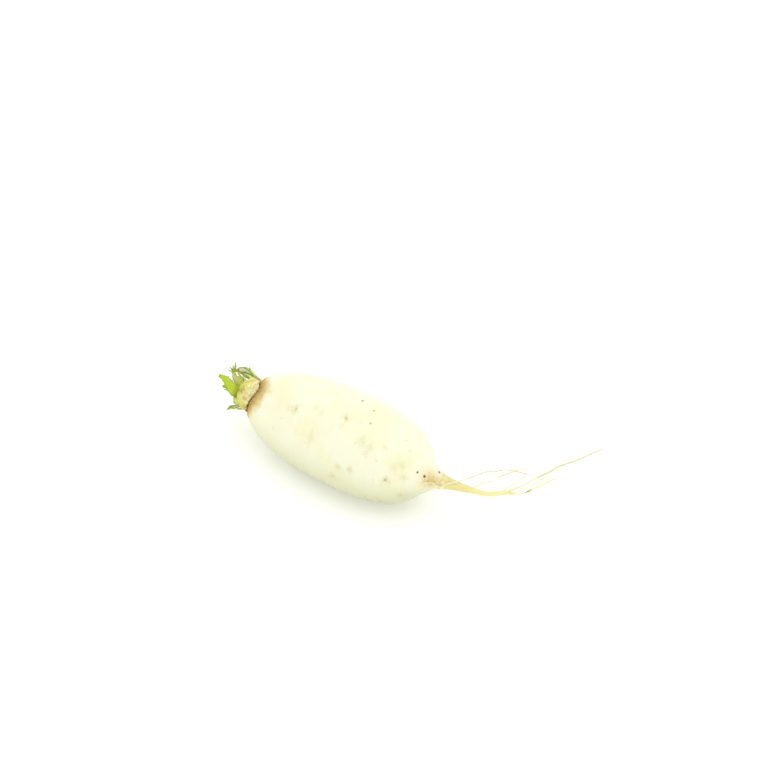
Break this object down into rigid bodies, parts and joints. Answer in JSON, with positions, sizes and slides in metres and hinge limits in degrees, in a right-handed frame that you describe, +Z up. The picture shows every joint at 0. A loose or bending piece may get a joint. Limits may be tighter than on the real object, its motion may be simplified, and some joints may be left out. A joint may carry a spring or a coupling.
{
  "type": "long white turnip",
  "caption": "Stout long white turnip, a white radish, lying on its side with cut leaf stalks on its crown and a thin bent taproot.",
  "frame": {"origin": "on the flat of the underside that the root rests on, under the widest part of its body", "axes": "+X along the root from the crown towards the taproot, +Y to its left, +Z up from the surface it lies on"},
  "size_m": [0.2666, 0.1732, 0.0749],
  "materials": {
    "skin": "smooth waxy skin, cream white, brown and cracked round the crown and where the taproot starts",
    "leaf_stalk": "fresh leaf stalk, yellow green, ribbed outside and pale inside",
    "young_leaf": "young leaf, green, finely haired",
    "dry_leaf": "withered leaf base, brown and papery",
    "side_root": "thin fibrous root, pale straw, matt"
  },
  "bodies": {
    "root": {"root": "skin", "stalk_arched": "leaf_stalk", "stalk_inner": "leaf_stalk", "stalk_torn": "leaf_stalk", "stalk_shred": "leaf_stalk", "stalk_broad": "leaf_stalk", "stalk_curled": "leaf_stalk", "stalk_low": "leaf_stalk", "stalk_under": "leaf_stalk", "stalk_back_low": "leaf_stalk", "stalk_back_high": "leaf_stalk", "young_leaf_top": "young_leaf", "young_leaf_low": "young_leaf", "young_leaf_back": "young_leaf", "bud": "young_leaf", "dry_scale_top": "dry_leaf", "dry_scale_back": "dry_leaf", "side_root_long": "side_root", "side_root_arched": "side_root", "side_root_middle": "side_root", "side_root_fine": "side_root", "side_root_tip": "side_root"}
  },
  "joints": []
}
